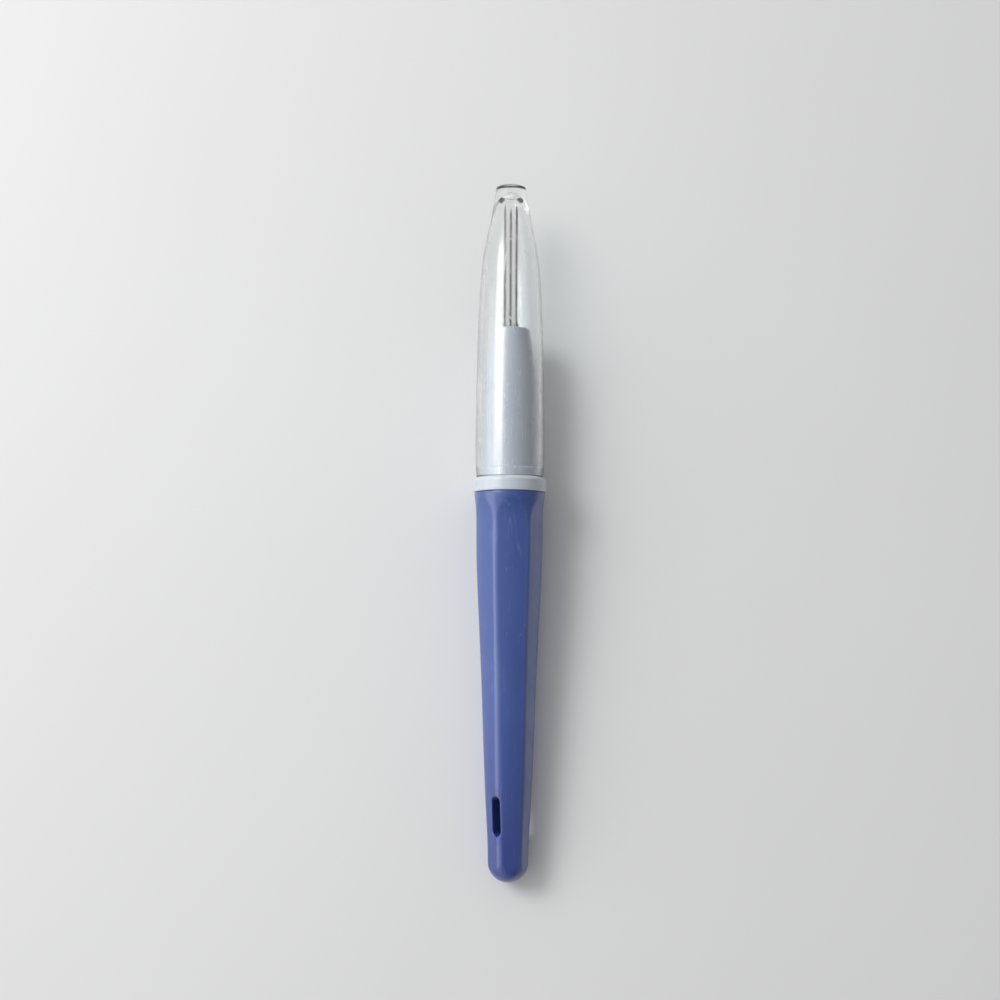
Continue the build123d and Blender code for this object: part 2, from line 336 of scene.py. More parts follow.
def mouldedMaterial(name, look):
    # one finish for the coloured mouldings: tone by flow marks, gloss broken by rubbing, and
    # where a look asks for it a painted shade towards the handle's end
    material, tree, surface = newMaterial(name)
    place = toolCoordinates(tree)
    scales = {"Flow Scale": look["flowScale"], "Peel Scale": look["peelScale"]}
    moulded = useGroup(tree, mouldedGroup, {"Vector": place, **scales})
    flow = moulded["Flow"]
    lines = {"Turn": look["scratchTurn"], "Scale": look["scratchScale"]}
    lines["Cover"] = look["scratchCover"]
    scratches = useGroup(tree, scratchGroup, {"Vector": place, **lines})["Scratches"]
    tone = rangeNode(tree, flow, *look["flowRange"])
    tone = mixColour(tree, tone, look["colour"], look["flowColour"])
    # painted shade: where the look gives an end colour, the colour darkens towards the handle's
    # end, standing in for the shade where the domed end faces away from the light
    if "shadedEndColour" in look:
        height = addNode(tree, "ShaderNodeSeparateXYZ", {"Vector": place}).outputs["Y"]
        paintedEndShade = rangeNode(tree, height, *look["shadedEndFade"], 0.0, look["shadedEndShare"])
        tone = mixColour(tree, paintedEndShade, tone, look["shadedEndColour"])
    edge = addNode(tree, "ShaderNodeAttribute", attribute_name="edgeWear").outputs["Fac"]
    worn = mathNode(tree, "MULTIPLY", edge, rangeNode(tree, flow, *look["wearRange"]))
    worn = mathNode(tree, "MULTIPLY", worn, look["wearShare"])
    tone = mixColour(tree, worn, tone, look["wearColour"])
    marks = mathNode(tree, "MULTIPLY", scratches, look["scratchShare"])
    tone = mixColour(tree, marks, tone, look["wearColour"])
    tree.links.new(tone, surface.inputs["Base Color"])
    rough = rangeNode(tree, moulded["Rubbed"], 0.0, 1.0, *look["roughness"])
    rough = mathNode(tree, "MULTIPLY_ADD", scratches, look["scratchRoughness"], rough)
    tree.links.new(rough, surface.inputs["Roughness"])
    relief = mathNode(tree, "MULTIPLY_ADD", scratches, look["scratchRelief"], moulded["Peel"])
    relief = mathNode(tree, "MULTIPLY_ADD", flow, look["flowRelief"], relief)
    depth = {"Strength": look["bump"], "Distance": look["bumpDepth"]}
    bump = addNode(tree, "ShaderNodeBump", {"Height": relief, **depth})
    tree.links.new(bump.outputs["Normal"], surface.inputs["Normal"])
    for socket, key in plainSockets.items():
        surface.inputs[socket].default_value = look[key]
    return material


# Handle

handleShape = {
    "length": 92.9,
    "topRadius": 8.6,
    "gripRadius": 8.1,
    "endRadius": 4.85,
    "edge": 0.3,
    "flareLength": 7.0,
    "flareShares": [(0.4, 0.18), (0.7, 0.66)],
    # way up from the dome to the flare, way out from the end radius to the grip radius
    "taperShares": [(0.17, 0.19), (0.29, 0.33), (0.47, 0.5), (0.62, 0.66), (0.77, 0.85)]
    + [(0.9, 0.975)],
    "facets": 6,
    "flatEndShare": 0.93,
    "flatTaperShares": [0.926, 0.918, 0.905, 0.896, 0.892, 0.89],
    "flatGripShare": 0.89,
    "crownShare": 0.34,  # how far a flat's middle swells back out to the round
    "crownFade": 20.0,
    "scoopTop": 1.6,
    "ridgeBlend": 0.16,  # mm over which flat and round run into each other
    "ridgeWear": (0.3, 1.1),  # mm from a ridge over which its wear fades
    "ridgeTop": (-4.0, -9.0),
    "slotFromEnd": 15.9,
    "slotLength": 9.2,
    "slotWidth": 2.4,
    "slotRim": 0.45,
    "slotMargin": 1.5,
    "slotAngle": -40.0,
    "socketRadius": 5.45,
    "grooveRadius": 6.05,
    "mouthRadius": 6.1,
    "socketDepth": 14.5,
    "threadFade": (-13.2, -12.2),
    "threadOver": 0.4,
    "coreRadii": (3.0, 2.6),
    "coreLength": 26.0,
    "rimWear": 0.7,
    "columns": 288,
    "domeRows": 26,
    "bodyRows": 116,
    "topRows": 86,
    "topStart": -10.0,
}

thread = {
    "pitch": 2.0,
    "start": -9.5,  # height of the first turn's middle
    "end": -1.5,
    "root": 5.3,
    "depth": 0.6,
    "crestWidth": 0.5,
    "rootWidth": 1.1,
    "clearance": 0.15,
    "leadIn": (-0.8, -0.1),  # about the start, over which the ridge rises
}

handleLook = {
    **commonLook,
    "colour": (0.035, 0.075, 0.28),
    "flowColour": (0.042, 0.087, 0.305),
    # painted shade: a darker blue towards the domed end, standing in for the shade where it faces
    # away from the light
    "shadedEndColour": (0.016, 0.038, 0.22),
    "shadedEndShare": 0.95,
    "shadedEndFade": (-0.045, -0.085),
    "wearColour": (0.2, 0.28, 0.56),
    "wearShare": 0.16,
    "flowScale": 150.0,
    "peelScale": 1300.0,
    "scratchTurn": (0.0, 0.2, 0.12),
    "scratchScale": 420.0,
    "scratchShare": 0.22,
    "roughness": (0.32, 0.45),
    "bump": 0.4,
    "bumpDepth": 0.00005,
    "flowRelief": 2.2,
    "coat": 0.7,
    "coatRoughness": 0.18,
    "coatIor": 1.6,
    "glow": 0.04,
    "glowRadius": (0.3, 0.5, 1.0),
    "glowScale": 0.001,
}


def taperKnots(shape):
    # heights from the dome up to the flare, and the turned outline's radii there
    dome, low = shape["endRadius"] - shape["length"], -shape["flareLength"]
    grip, end = shape["gripRadius"], shape["endRadius"]
    ups, outs = zip(*shape["taperShares"])
    knots = [dome] + [dome + up * (low - dome) for up in ups] + [low]
    return knots, [end] + [end + out * (grip - end) for out in outs] + [grip]


def handleRound(shape, height):
    # the turned outline: a domed end, then a spline through the taper and the flared top
    knots, values = taperKnots(shape)
    dome, low, high = knots[0], knots[-1], -shape["edge"]
    grip, end, top = shape["gripRadius"], shape["endRadius"], shape["topRadius"]
    ups, outs = zip(*shape["flareShares"])
    knots = knots + [low * (1 - up) for up in ups] + [high]
    values = values + [grip + out * (top - grip) for out in outs] + [top]
    side = smoothCurve(knots, values, height, 0.0, 0.0)
    ball = np.sqrt(np.clip(end**2 - (height - dome) ** 2, 0, None))
    return np.where(height < dome, ball, np.where(height > high, top, side))


def handleFlat(shape, height):
    # how far each flat lies from the axis: a share of the outline, then a hollow arc that
    # starts straight at the flare and leaves the round at the scooped top
    knots, radii = taperKnots(shape)
    shares = [shape["flatEndShare"], *shape["flatTaperShares"], shape["flatGripShare"]]
    values = np.multiply(shares, radii)
    start, inward = knots[-1], values[-1]
    out = shape["topRadius"] - inward
    rise = -shape["scoopTop"] - start
    bend = (rise**2 + out**2) / (2 * out)
    up = np.clip(height - start, 0, None)
    scoop = inward + bend - np.sqrt(np.clip(bend**2 - up**2, 0, None))
    flat = smoothCurve(knots, values, np.clip(height, knots[0], start), 0.0, 0.0)
    return np.where(height > start, scoop, flat)


def handleRadius(shape, angle, height):
    # the smaller of the turned outline and the flat that faces this way, gently blended. The
    # flat is crowned: its middle swells by a share of its depth, falling as the square.
    sector = 2 * np.pi / shape["facets"]
    away = np.abs((angle + sector / 2) % sector - sector / 2)
    turned = handleRound(shape, height)
    flat = handleFlat(shape, height)
    edge = np.arccos(np.clip(flat / np.maximum(turned, 0.001), -1, 0.9999))
    dome = shape["endRadius"] - shape["length"]
    crown = shape["crownShare"] * np.clip(turned - flat, 0, None)
    crown = crown * smoothStep(dome, dome + shape["crownFade"], height) * (1 - (away / edge) ** 2)
    return smoothLess(turned, flat / np.cos(away) + crown, shape["ridgeBlend"])


def ridgeWear(shape, angle, height):
    # 1 on a ridge between two flats, falling to 0 within about a millimetre
    sector = 2 * np.pi / shape["facets"]
    off = np.abs(angle % sector - sector / 2) * handleRound(shape, height)
    return (1 - smoothStep(*shape["ridgeWear"], off)) * smoothStep(*shape["ridgeTop"], height)


def slotPatch(shape, side, loopAngle, loopHeight, rings=9, rimSteps=7):
    # the surface round one mouth of the slot: from the grid's hole inwards to a rounded rim.
    # Across and along the slot, a point lies at the slot's centre line plus its distance
    # from it, and its depth is that of the handle's surface there.
    radius = handleRadius(shape, loopAngle, loopHeight)
    centre = shape["slotFromEnd"] - shape["length"]
    straightHalf = (shape["slotLength"] - shape["slotWidth"]) / 2
    across = radius * np.sin(loopAngle - side)
    upAlong = loopHeight - centre
    middle = np.clip(upAlong, -straightHalf, straightHalf)
    reach = np.hypot(across, upAlong - middle)
    outward = np.stack([across, upAlong - middle]) / reach
    slotRadius = shape["slotWidth"] / 2
    rim = shape["slotRim"]

    def surfaceAt(distance):
        w = outward[0] * distance
        a = centre + middle + outward[1] * distance
        depth = handleRound(shape, a)
        for _ in range(12):
            angle = side + np.arctan2(w, depth)
            depth = np.sqrt(np.clip(handleRadius(shape, angle, a) ** 2 - w**2, 0, None))
        return w, depth, a

    steps = []
    for turn in np.linspace(0, np.pi / 2, rimSteps):
        w, depth, a = surfaceAt(slotRadius + rim * (1 - np.cos(turn)))
        steps.append((w, depth - rim * (1 - np.sin(turn)), a))
    for share in np.linspace(0, 1, rings)[1:]:
        steps.append(surfaceAt((1 - share) * (slotRadius + rim) + share * reach))
    w, depth, a = (np.stack(part) for part in zip(*steps))
    x = depth * np.sin(side) + w * np.cos(side)
    n = depth * np.cos(side) - w * np.sin(side)
    return fromTool(x, n, a)


def threadRidge(angle, height, crest, rootWidth):
    # 1 on the crest of a right-hand helical ridge, 0 between its turns, with sloped flanks
    turns = (height - thread["start"]) / thread["pitch"] - angle / (2 * np.pi)
    off = np.abs(turns - np.round(turns)) * thread["pitch"]
    return 1 - np.clip((off - crest / 2) / ((rootWidth - crest) / 2), 0, 1)


def buildHandle():
    shape = handleShape
    columns, edge = shape["columns"], shape["edge"]
    slotTurn = math.radians(shape["slotAngle"])
    angle = slotTurn + np.linspace(0, 2 * np.pi, columns, endpoint=False)
    dome = shape["endRadius"] - shape["length"]
    ball = np.linspace(0, np.pi / 2, shape["domeRows"])
    domeHeights = dome - shape["endRadius"] * np.cos(ball)
    bodyHeights = np.linspace(dome, shape["topStart"], shape["bodyRows"])[1:]
    topHeights = np.linspace(shape["topStart"], -edge, shape["topRows"])[1:]
    heights = np.concatenate([domeHeights, bodyHeights, topHeights])
    angles, rows = np.meshgrid(angle, heights)
    outer = onRings(handleRadius(shape, angles, rows), angles, rows)

    # grid cells under the slot's two mouths, left out and patched
    slotHeight = shape["slotFromEnd"] - shape["length"]
    border = shape["slotRim"] + shape["slotMargin"]
    reach = shape["slotLength"] / 2 + border
    spread = shape["slotWidth"] / 2 + border
    localRadius = float(handleRound(shape, np.array(slotHeight)))
    cell = 2 * np.pi / columns
    half = int(round(math.asin(spread / localRadius) / cell))
    lowRow = int(np.searchsorted(heights, slotHeight - reach))
    highRow = int(np.searchsorted(heights, slotHeight + reach))
    up = np.arange(lowRow, highRow + 1)
    keep = np.ones((len(heights) - 1, columns), bool)
    mouths = []
    for turn in (0, math.pi):
        middle = int(round(turn / cell))
        keep[lowRow:highRow, np.arange(middle - half, middle + half) % columns] = False
        across = np.arange(-half, half + 1)
        if turn:
            across = across[::-1]
        rise, run = np.ones(len(up) - 1, int), np.ones(len(across) - 1, int)
        sides = [across[:-1], across[-1] * rise, across[:0:-1], across[0] * rise]
        ends = [lowRow * run, up[:-1], highRow * run, up[:0:-1]]
        loopAngle = slotTurn + turn + np.concatenate(sides) * cell
        loopHeight = heights[np.concatenate(ends)]
        mouths.append(slotPatch(shape, slotTurn + turn, loopAngle, loopHeight))
    share = np.linspace(0, 1, 14)[:, None, None]
    tube = (1 - share) * mouths[0][0] + share * mouths[1][0]

    # top face, threaded socket, the floor that the needles' cranks bear on, and the cored end
    mouth, socket, top = shape["mouthRadius"], shape["socketRadius"], shape["topRadius"]
    floor, threadEnd = -shape["socketDepth"], thread["end"]
    coreTop, coreEnd = shape["coreRadii"]
    coreFoot = floor - shape["coreLength"]
    shoulder = threadEnd - mouth + socket
    rim = cornerArc((top - edge, -edge), edge, 0, 90)
    profile = outline(
        rim,
        straight((top - edge, 0), (mouth + edge, 0), 5),
        cornerArc((mouth + edge, -edge), edge, 90, 180),
        straight((mouth, -edge), (mouth, threadEnd), 4),
        straight((mouth, threadEnd), (socket, shoulder), 5),
        straight((socket, shoulder), (socket, floor), 64),
        straight((socket, floor), (coreTop, floor), 4),
        straight((coreTop, floor), (coreEnd, coreFoot), 4),
        cornerArc((0, coreFoot), coreEnd, 0, -90, 6),
    )
    inAngles, inRadii, inRows = lathe(profile, angle)
    widths = [thread[key] + 2 * thread["clearance"] for key in ("crestWidth", "rootWidth")]
    inThread = smoothStep(*shape["threadFade"], inRows) * (inRadii < mouth + tiny)
    inThread = inThread * (inRows < threadEnd + shape["threadOver"])
    depth = (shape["grooveRadius"] - socket) * threadRidge(inAngles, inRows, *widths)
    groove = np.where(inThread > 0, socket + depth * inThread, 0)
    inner = onRings(np.maximum(inRadii, groove), inAngles, inRows)
    rimWear = np.zeros(inAngles.shape)
    rimWear[: len(rim) + 1] = shape["rimWear"]
    bare = [np.zeros(grid.shape[:2]) for grid in (*mouths, tube)]
    wear = [ridgeWear(shape, angles, rows), *bare, rimWear]
    grids = [outer, *mouths, tube, inner]
    material = mouldedMaterial("handlePlastic", handleLook)
    solidPiece(
        "handle_moulding", grids, "handle", "handle", material, wear, keep
    )


# Collar ring

collarShape = {
    "bottom": 0.05,
    "top": 3.7,
    "radius": 8.9,
    "bore": 6.0,
    "shoulder": 1.1,
    "edge": 0.3,
    "wearOut": (1.2, 0.6),  # mm in from the radius, over which the wear grows
    "wearUp": (1.3, 0.7),  # mm down from the top
    "columns": 256,
}

collarLook = {
    **commonLook,
    "colour": (0.51, 0.56, 0.62),
    "flowColour": (0.55, 0.59, 0.64),
    "wearColour": (0.74, 0.78, 0.79),
    "flowScale": 220.0,
    "peelScale": 1700.0,
    "scratchTurn": (0.0, 0.0, 1.4),
    "scratchScale": 500.0,
    "scratchShare": 0.1,
    "roughness": (0.2, 0.3),
    "flowRelief": 1.2,
    "glow": 0.12,
    "glowRadius": (0.9, 1.0, 1.0),
}


def turnedPiece(name, profile, columns, wear, body, node, slot, material):
    # a closed profile of radius and height, carried once round the tool's axis
    angle = np.linspace(0, 2 * np.pi, columns, endpoint=False)
    angles, radii, rows = lathe(profile, angle)
    mask = np.broadcast_to(np.asarray(wear, float)[:, None], angles.shape)
    solidPiece(name, [onRings(radii, angles, rows)], body, node, material, [mask])


def buildCollar():
    shape = collarShape
    low, high, wide, bore = shape["bottom"], shape["top"], shape["radius"], shape["bore"]
    edge, shoulder = shape["edge"], shape["shoulder"]
    profile = outline(
        straight((bore, low + edge), (bore, high - edge), 6),
        cornerArc((bore + edge, high - edge), edge, 180, 90),
        straight((bore + edge, high), (wide - shoulder, high), 6),
        cornerArc((wide - shoulder, high - shoulder), shoulder, 90, 0, 20),
        straight((wide, high - shoulder), (wide, low + edge), 12),
        cornerArc((wide - edge, low + edge), edge, 0, -90),
        straight((wide - edge, low), (bore + edge, low), 6),
        cornerArc((bore + edge, low + edge), edge, 270, 180),
    )
    outFrom, outTo = (wide - away for away in shape["wearOut"])
    upFrom, upTo = (high - away for away in shape["wearUp"])
    wear = smoothStep(outFrom, outTo, profile[:, 0]) * smoothStep(upFrom, upTo, profile[:, 1])
    material = mouldedMaterial("collarPlastic", collarLook)
    place = ("collar", "collar_ring", "collar_plastic")
    turnedPiece("collar_moulding", profile, shape["columns"], wear, *place, material)


# Nose with its seat band, neck and threaded spigot

noseShape = {
    "base": 3.75,
    "length": 36.4,
    "bodyRadius": 6.65,
    "tipRadius": 4.7,
    "edge": 0.35,
    "outlineShares": [(0.42, 0.905), (0.62, 0.8), (0.745, 0.62), (0.84, 0.4), (0.92, 0.2)],
    "leanShare": 0.14,
    "tipTurn": -8,  # degrees at which the tip's rounded edge takes over
    "bandRadius": 7.23,
    "bandHeight": 2.1,
    "bandEdge": 0.25,
    "bandFillet": 0.3,
    "neckRadius": 5.95,
    "boreRadius": 3.65,
    "frontWall": 6.0,
    "spigotEnd": -10.6,
    "spigotEdge": 0.2,
    "guideRadius": 0.65,
    "guideEdge": 0.15,
    "guideBevelShare": 0.3,
    "tipWear": (1.0, 0.2),  # mm below the tip, over which the wear grows
    "bandWear": (0.3, 0.5, 0.6),  # mm in from the band, mm down from its top, and how much
    "columns": 192,
}

noseLook = {
    **commonLook,
    "colour": (0.5, 0.525, 0.585),
    "flowColour": (0.535, 0.555, 0.61),
    "wearColour": (0.62, 0.68, 0.74),
    "flowScale": 130.0,
    "peelScale": 1500.0,
    "scratchTurn": (0.0, 0.1, 0.05),
    "scratchScale": 380.0,
    "scratchShare": 0.12,
    "roughness": (0.26, 0.36),
    "flowRelief": 2.0,
    "glow": 0.1,
    "glowRadius": (0.7, 0.85, 1.0),
}

needleShape = {
    "angles": (56.0, 176.0, 296.0),
    "circle": 1.62,
    "point": 71.65,
    "back": -14.35,
    "shank": 0.9,
    "shankLength": 34.0,
    "shankTaper": 2.5,
    "middle": 0.6,
    "corner": 0.33,
    "cornerBlend": 0.05,
    "bladeLength": 29.4,
    "bladeTaper": 1.3,
    "pointLength": 1.8,
    "pointRadius": 0.04,
    "bend": 1.4,
    "crank": 4.2,
    "crankEdge": 0.1,
    "barbDepth": 0.1,
    "barbLength": 0.55,
    "barbFirst": 3.4,
    "barbStep": 2.1,
    "barbRows": 3,
    "barbSpan": 0.7,  # radians to each side of a corner
    "barbMargin": 0.3,
    "taperMargin": 0.4,
    "plainLength": 12.0,
    "columns": 48,
}


def guideDisc(shape, rimRadius, rimAngle, height, directions, edgeSign):
    # a flat disc with a hole for each needle. Each third of the disc is a fan of rings that
    # go from its own border, centre to rim and back, to the hole in its middle.
    grids, holes = [], []
    count = len(rimAngle) // len(needleShape["angles"])
    guide, edge = shape["guideRadius"], shape["guideEdge"]
    bevel = edge * shape["guideBevelShare"]
    spoke = np.linspace(0, 1, 13)[:-1, None] * rimRadius

    def ray(turns):
        return np.stack([np.sin(turns), np.cos(turns)], -1)

    for index, needleAngle in enumerate(needleShape["angles"]):
        rim = rimAngle[index * count : (index + 1) * count]
        lastRim = rimAngle[((index + 1) * count) % len(rimAngle)]
        homeward = rimRadius * ray(lastRim) - spoke * ray(lastRim)
        border = np.concatenate([spoke * ray(rim[0]), rimRadius * ray(rim), homeward])
        middle = needleShape["circle"] * ray(math.radians(needleAngle))
        if directions is None:
            direction = (border - middle) / np.linalg.norm(border - middle, axis=1)[:, None]
        else:
            direction = directions[index]
        holes.append(direction)
        inner = middle + (guide + edge) * direction
        rings = [
            (middle + guide * direction, height - edgeSign * edge),
            (middle + (guide + bevel) * direction, height - edgeSign * bevel),
        ]
        for share in np.linspace(0, 1, 8):
            rings.append(((1 - share) * inner + share * border, height))
        grids.append(np.stack([fromTool(ring[:, 0], ring[:, 1], level) for ring, level in rings]))
    return grids, holes


def buildNose():
    shape = noseShape
    base, tip = shape["base"], shape["base"] + shape["length"]
    body, tipRadius, edge = shape["bodyRadius"], shape["tipRadius"], shape["edge"]
    bandTop = base + shape["bandHeight"]
    neck, band, bore = shape["neckRadius"], shape["bandRadius"], shape["boreRadius"]
    bandEdge, fillet = shape["bandEdge"], shape["bandFillet"]
    ups, outs = zip(*shape["outlineShares"])
    knots = [bandTop] + [base + up * shape["length"] for up in ups] + [tip - edge]
    values = [body] + [tipRadius + out * (body - tipRadius) for out in outs] + [tipRadius]
    heights = np.linspace(bandTop + fillet, tip - edge, 110)
    side = smoothCurve(knots, values, heights, 0.0, -shape["leanShare"])
    root, threadEnd = thread["root"], thread["end"]
    shoulderLow = threadEnd - neck + root
    boreTop = tip - shape["frontWall"]
    foot, bevel = shape["spigotEnd"], shape["spigotEdge"]
    profile = outline(
        straight((bore, boreTop), (bore, foot), 6),
        straight((bore, foot), (root - bevel, foot), 4),
        straight((root - bevel, foot), (root, foot + bevel), 3),
        straight((root, foot + bevel), (root, shoulderLow), 74),
        straight((root, shoulderLow), (neck, threadEnd), 5),
        straight((neck, threadEnd), (neck, base), 12),
        straight((neck, base), (band - bandEdge, base), 5),
        cornerArc((band - bandEdge, base + bandEdge), bandEdge, -90, 0),
        straight((band, base + bandEdge), (band, bandTop - bandEdge), 8),
        cornerArc((band - bandEdge, bandTop - bandEdge), bandEdge, 0, 90),
        straight((band - bandEdge, bandTop), (body + fillet, bandTop), 2),
        cornerArc((body + fillet, bandTop + fillet), fillet, 270, 180),
        np.stack([side, heights], 1),
        cornerArc((tipRadius - edge, tip - edge), edge, shape["tipTurn"], 90, 9),
    )
    startTurn = math.radians(needleShape["angles"][0] - 60)
    angle = startTurn + np.linspace(0, 2 * np.pi, shape["columns"], endpoint=False)
    angles, radii, rows = lathe(profile, angle)
    ridge = threadRidge(angles, rows, thread["crestWidth"], thread["rootWidth"])
    leadFrom, leadTo = (thread["start"] + lead for lead in thread["leadIn"])
    ridge = ridge * smoothStep(leadFrom, leadTo, rows)
    onSpigot = (radii > root - tiny) & (rows < threadEnd)
    radii = np.where(onSpigot, np.maximum(radii, root + thread["depth"] * ridge), radii)
    front, directions = guideDisc(shape, tipRadius - edge, angle, tip, None, 1)
    back, _ = guideDisc(shape, bore, angle, boreTop, directions, -1)
    share = np.linspace(0, 1, 4)[:, None, None]
    tubes = [(1 - share) * outer[0] + share * inner[0] for outer, inner in zip(front, back)]
    grids = [onRings(radii, angles, rows), *front, *back, *tubes]
    bandIn, bandDown, bandWear = shape["bandWear"]
    tipFrom, tipTo = (tip - down for down in shape["tipWear"])
    wear = ((radii > band - bandIn) & (rows > bandTop - bandDown)) * bandWear
    wear = smoothStep(tipFrom, tipTo, rows) + wear
    wear = [wear] + [np.zeros(grid.shape[:2]) for grid in grids[1:]]
    material = mouldedMaterial("nosePlastic", noseLook)
    solidPiece("nose_moulding", grids, "holder", "nose_shell", material, wear)


# Felting needles

needleLook = {
    "colour": (0.26, 0.25, 0.24),
    "darkColour": (0.1, 0.09, 0.08),
    "darkScale": 700.0,
    "darkRange": (0.46, 0.7, 0.0, 0.75),
    "spotColour": (0.2, 0.13, 0.08),
    "spotScale": 1500.0,
    "spotRange": (0.6, 0.68, 0.0, 0.8),
    "spotRoughness": 0.3,
    "drawnStretch": (1.0, 0.02, 1.0),
    "drawnScale": 9000.0,
    "roughness": (0.2, 0.42),
    "bump": {"Strength": 0.3, "Distance": 0.000008},
}


def needleSteel(look):
    # drawn steel wire: lines along the needle, darker oxide patches and small brown spots
    material, tree, surface = newMaterial("needleSteel")
    place = toolCoordinates(tree)
    drawn = noise(tree, mapped(tree, place, look["drawnStretch"]), look["drawnScale"], 2.0)
    patches = noise(tree, place, look["darkScale"], 5.0, Roughness=0.65)
    dark = rangeNode(tree, patches, *look["darkRange"])
    spot = rangeNode(tree, noise(tree, place, look["spotScale"], 3.0), *look["spotRange"])
    colour = mixColour(tree, dark, look["colour"], look["darkColour"])
    colour = mixColour(tree, spot, colour, look["spotColour"])
    tree.links.new(colour, surface.inputs["Base Color"])
    rough = rangeNode(tree, drawn, 0.3, 0.7, *look["roughness"])
    rough = mathNode(tree, "MULTIPLY_ADD", spot, look["spotRoughness"], rough)
    tree.links.new(rough, surface.inputs["Roughness"])
    bump = addNode(tree, "ShaderNodeBump", {"Height": drawn, **look["bump"]})
    tree.links.new(bump.outputs["Normal"], surface.inputs["Normal"])
    surface.inputs["Metallic"].default_value = 1.0
    return material


def needleRadius(shape, angle, height):
    # round wire that tapers to a three-cornered blade with rounded corners, cut by barbs on
    # its corners and drawn to a point
    shank, middle, corner = shape["shank"], shape["middle"], shape["corner"]
    top = shape["back"] + shank + shape["shankLength"]
    bladeLow = shape["point"] - shape["bladeLength"]
    taperLow = bladeLow - shape["bladeTaper"]
    levels = [top, top + shape["shankTaper"], taperLow, bladeLow]
    wire = np.interp(height, levels, [shank, middle, middle, corner])
    third = 2 * np.pi / 3
    fromCorner = (angle + third / 2) % third - third / 2
    flat = corner / 2 / np.cos(third / 2 - np.abs(fromCorner))
    blade = smoothLess(np.full(flat.shape, corner * 0.97), flat, shape["cornerBlend"])
    share = smoothStep(taperLow, bladeLow, height)
    radius = (1 - share) * wire + share * np.minimum(blade, wire)
    for number in range(3 * shape["barbRows"]):
        catch = shape["point"] - shape["barbFirst"] - shape["barbStep"] * number / 3
        up = (height - catch) / shape["barbLength"]
        cut = np.where((up >= 0) & (up < 1), 1 - up, 0)
        side = (angle - (math.pi / 2 + number * third) + math.pi) % (2 * math.pi) - math.pi
        depth = shape["barbDepth"] * cut * (np.abs(side) < shape["barbSpan"])
        notched = (corner - depth) / np.clip(np.cos(side), 0.3, 1)
        radius = np.where(depth > 0, np.minimum(radius, notched), radius)
    full = np.clip((shape["point"] - height) / shape["pointLength"], 0, 1)
    return radius * (full + shape["pointRadius"] / corner * (1 - full))


def buildNeedle(number, needleAngle, material):
    # the crank and bend are a circle carried along a line and a quarter turn, and the rest is
    # the wire's radius about the needle's own axis
    shape = needleShape
    turn = math.radians(needleAngle)
    crankTurn = turn + math.pi / 2
    centre = shape["circle"] * np.array([math.sin(turn), math.cos(turn)])
    outward = np.array([math.sin(crankTurn), math.cos(crankTurn)])
    sideways = np.array([outward[1], -outward[0]])
    around = np.linspace(0, 2 * np.pi, shape["columns"], endpoint=False)
    shank, bend, crank, point = (shape[key] for key in ("shank", "bend", "crank", "point"))
    axisHeight = shape["back"] + shank
    barbCount = 3 * shape["barbRows"]
    catches = point - shape["barbFirst"] - shape["barbStep"] * np.arange(barbCount) / 3
    barbLow = point - shape["barbFirst"] - shape["barbStep"] * shape["barbRows"]
    barbLow = barbLow - shape["barbMargin"]
    taperLow = point - shape["bladeLength"] - shape["bladeTaper"] - shape["taperMargin"]
    runs = [
        np.linspace(axisHeight + bend, taperLow, 30),
        np.linspace(taperLow, barbLow - shape["plainLength"], 16),
        np.linspace(barbLow - shape["plainLength"], barbLow, 10),
        np.linspace(barbLow, point, 90),
        catches - 0.01,
        catches,
        catches + shape["barbLength"] / 2,
        catches + shape["barbLength"],
    ]
    heights = np.unique(np.concatenate(runs))

    # each ring: its place out along the crank and up, its turn, and its radius
    rings = [
        (crank, axisHeight, 0.0, 0.0),
        (crank, axisHeight, 0.0, shank * 0.75),
        (crank - shape["crankEdge"], axisHeight, 0.0, shank),
    ]
    rings += [(out, axisHeight, 0.0, shank) for out in np.linspace(crank, bend, 6)[1:]]
    for a in np.radians(np.linspace(0, 90, 14))[1:]:
        rings.append((bend * (1 - math.sin(a)), axisHeight + bend * (1 - math.cos(a)), a, shank))
    start = []
    across = np.sin(around)[:, None] * sideways
    for out, level, tilt, radius in rings:
        # the ring's own up direction turns from the axis to inwards as the wire bends upwards
        rise = radius * np.cos(around)
        flat = centre + (out + rise * math.sin(tilt))[:, None] * outward + radius * across
        start.append(fromTool(flat[:, 0], flat[:, 1], level + rise * math.cos(tilt)))
    angles, rows = np.meshgrid(around, heights[1:])
    # the blade's corners point the way of the CAD blade's corners, from +X round
    facing = math.atan2(outward[0], outward[1])
    radii = needleRadius(shape, facing - angles, rows)
    run, aside = radii * np.cos(angles), radii * np.sin(angles)
    x, n = (centre[i] + run * outward[i] + aside * sideways[i] for i in range(2))
    tip = np.broadcast_to(centre, (shape["columns"], 2))
    last = fromTool(tip[:, 0], tip[:, 1], point)
    grid = np.concatenate([np.stack(start), fromTool(x, n, rows), last[None]])
    name, node = f"felting_needle_{number}", f"needle_{number}"
    solidPiece(name, [grid], "holder", node, material)


# Cap

capShape = {
    "mouth": 3.75,
    "length": 72.4,
    "mouthRadius": 8.15,
    "bodyRadius": 8.38,
    "wall": 1.1,
    "tipRadius": 3.75,
    "tipEdge": 0.7,
    "tipLeanShare": 0.16,
    "lip": 0.25,
    "tipWall": 2.0,
    # way up the cap or its hollow, way out to the widest radius
    "outsideShares": [(0.035, 1), (0.24, 0.994), (0.43, 0.97), (0.6, 0.916), (0.735, 0.832)]
    + [(0.823, 0.706), (0.892, 0.583)],
    "insideShares": [(0.1, 1), (0.25, 0.995), (0.445, 0.965), (0.62, 0.9), (0.765, 0.79)]
    + [(0.857, 0.636), (0.928, 0.485), (0.972, 0.33)],
    "columns": 224,
}

